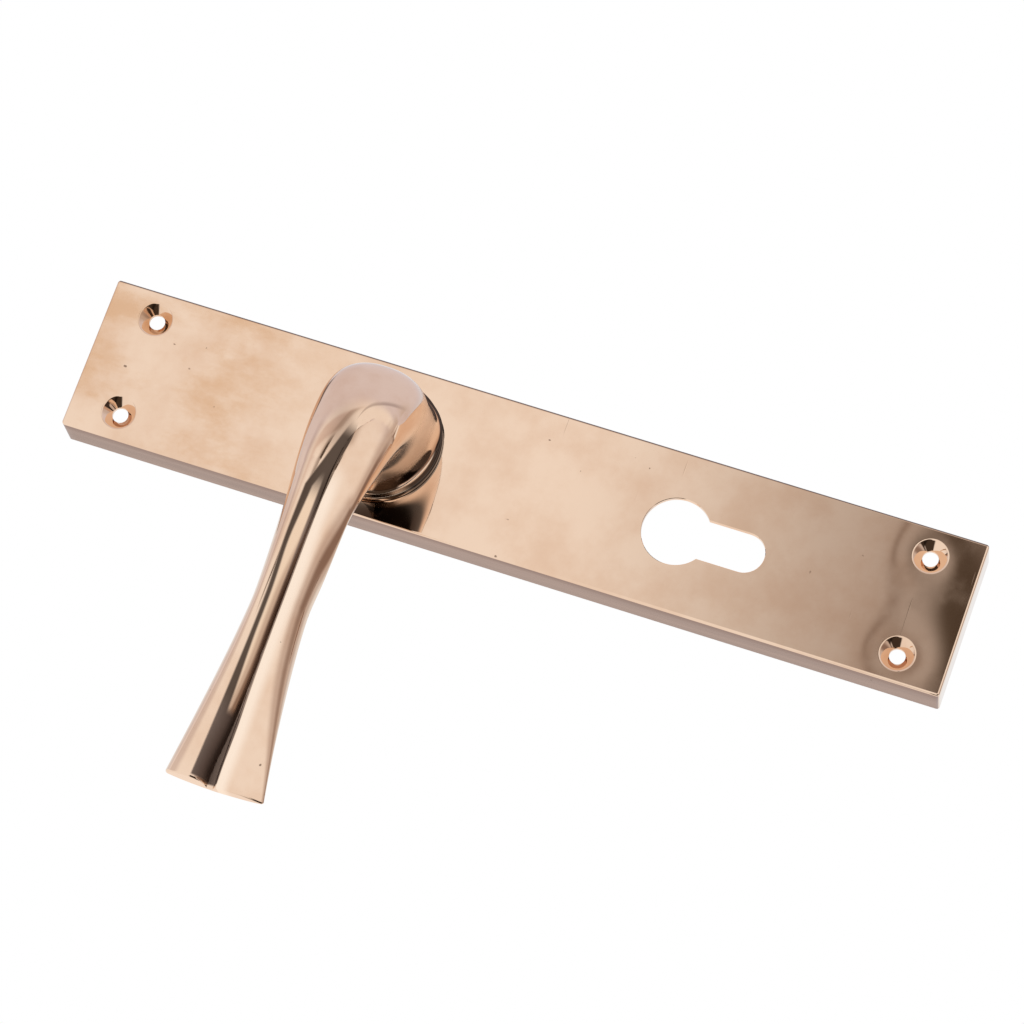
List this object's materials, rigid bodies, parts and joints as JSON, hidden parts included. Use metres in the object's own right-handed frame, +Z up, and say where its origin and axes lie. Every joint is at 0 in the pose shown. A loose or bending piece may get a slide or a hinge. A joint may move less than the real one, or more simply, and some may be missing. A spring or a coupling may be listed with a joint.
{
  "type": "lever door handle on backplate",
  "caption": "Lever door handle on a long hollow backplate with a profile-cylinder cut-out; the two-lobed trumpet lever turns down against a return spring behind the plate.",
  "frame": {"origin": "where the spindle axis meets the door face, at the mouth of the lever's square socket", "axes": "+Z up the backplate, towards its top end; +Y into the door along the spindle axis, so the plate's front and the lever face -Y; the lever at rest points to -X"},
  "size_m": [0.1348, 0.0563, 0.25],
  "materials": {
    "polished_bronze": "mirror polished and lacquered, rose bronze tone",
    "zinc_steel": "bright zinc plated",
    "spring_steel": "oiled spring wire",
    "black_steel": "black phosphated",
    "nylon": "natural nylon"
  },
  "bodies": {
    "plate": {"backplate": "polished_bronze", "weld_studs": "zinc_steel", "carrier": "zinc_steel", "stud_nuts": "zinc_steel", "bush": "nylon", "wear_washer": "zinc_steel", "return_spring": "spring_steel"},
    "handle": {"lever": "polished_bronze", "cam": "black_steel", "circlip": "black_steel"}
  },
  "joints": [
    {"name": "lever_turn", "type": "hinge", "parent": "plate", "child": "handle", "pos_m": [0, 0, 0], "axis": [0, -1, 0], "range_deg": [0, 48], "stiffness_Nm_per_rad": 0.8, "springref_deg": -42.97, "deforming": ["return_spring"]}
  ]
}
